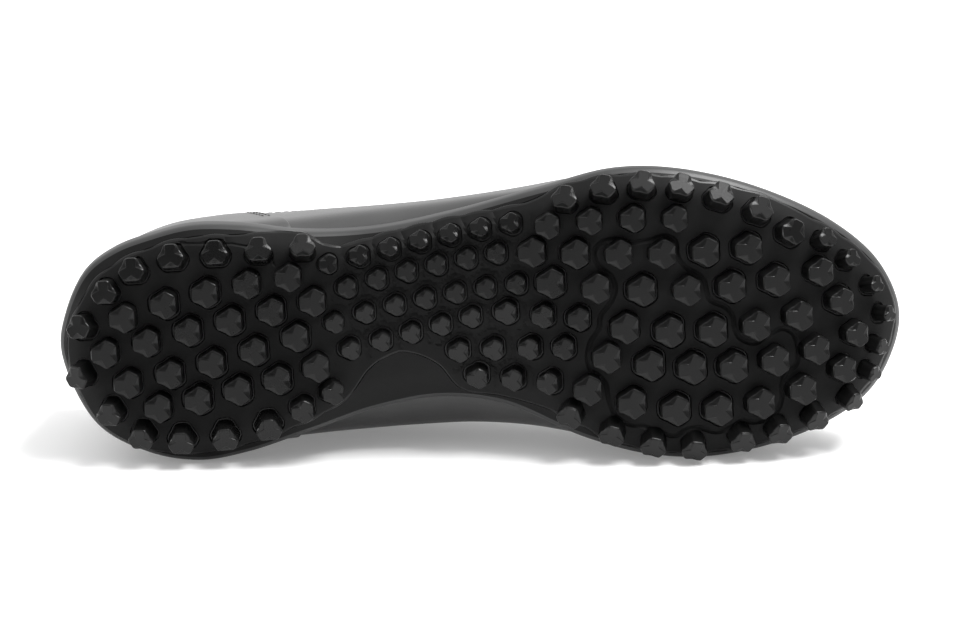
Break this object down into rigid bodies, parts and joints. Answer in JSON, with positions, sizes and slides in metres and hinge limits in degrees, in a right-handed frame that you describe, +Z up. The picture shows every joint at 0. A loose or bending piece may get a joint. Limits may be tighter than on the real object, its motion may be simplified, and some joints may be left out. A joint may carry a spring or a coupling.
{
  "type": "turf shoe, right foot",
  "caption": "Black turf shoe for the right foot with a studded rubber sole, lying on its inner side.",
  "frame": {"origin": "middle of the bounding box, on the floor that the shoe lies on", "axes": "+X towards the toe, -Y the way the studded sole faces, +Z up, which is the outer side of the shoe"},
  "size_m": [0.295, 0.1128, 0.103],
  "materials": {
    "sole_rubber": "moulded, satin",
    "sidewall_rubber": "moulded, smooth satin",
    "upper_synthetic": "coated synthetic, satin",
    "textile": "knitted, matte",
    "lace": "woven, matte"
  },
  "bodies": {
    "root": {"outsole": "sole_rubber", "midsole": "sidewall_rubber", "upper": "upper_synthetic", "tongue": "textile", "insole": "textile", "laces": "lace"}
  },
  "joints": []
}
